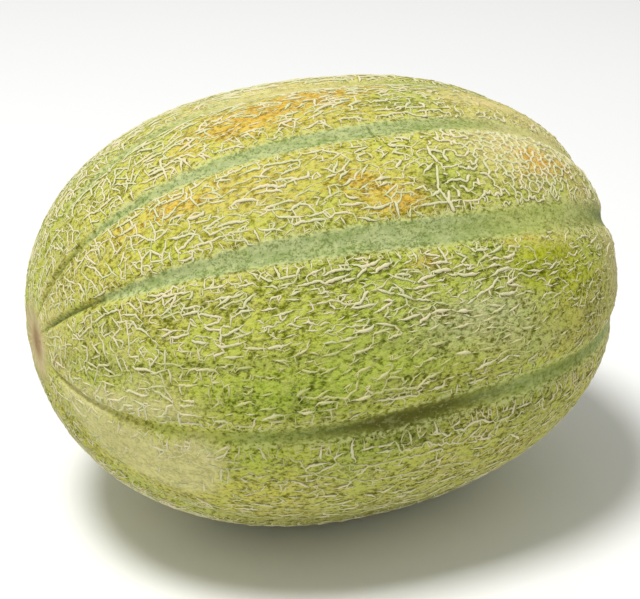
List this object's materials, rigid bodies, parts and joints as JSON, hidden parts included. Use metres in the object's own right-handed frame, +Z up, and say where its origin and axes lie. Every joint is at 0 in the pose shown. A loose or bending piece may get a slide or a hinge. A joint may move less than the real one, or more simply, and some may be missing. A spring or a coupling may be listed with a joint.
{
  "type": "cantaloupe melon",
  "caption": "Whole netted melon with smooth lengthwise sutures, a raised corky net, a blossom scar and a stem scar, lying on its side on a small flat spot.",
  "frame": {"origin": "on the resting surface, under the middle of the melon's outline", "axes": "X along the melon with the blossom scar at -X and the stem scar at +X, Z up from the surface it lies on"},
  "size_m": [0.19, 0.1516, 0.1377],
  "materials": {
    "rind": "matte waxy skin under a dry corky net"
  },
  "bodies": {
    "root": {"melon": "rind"}
  },
  "joints": []
}
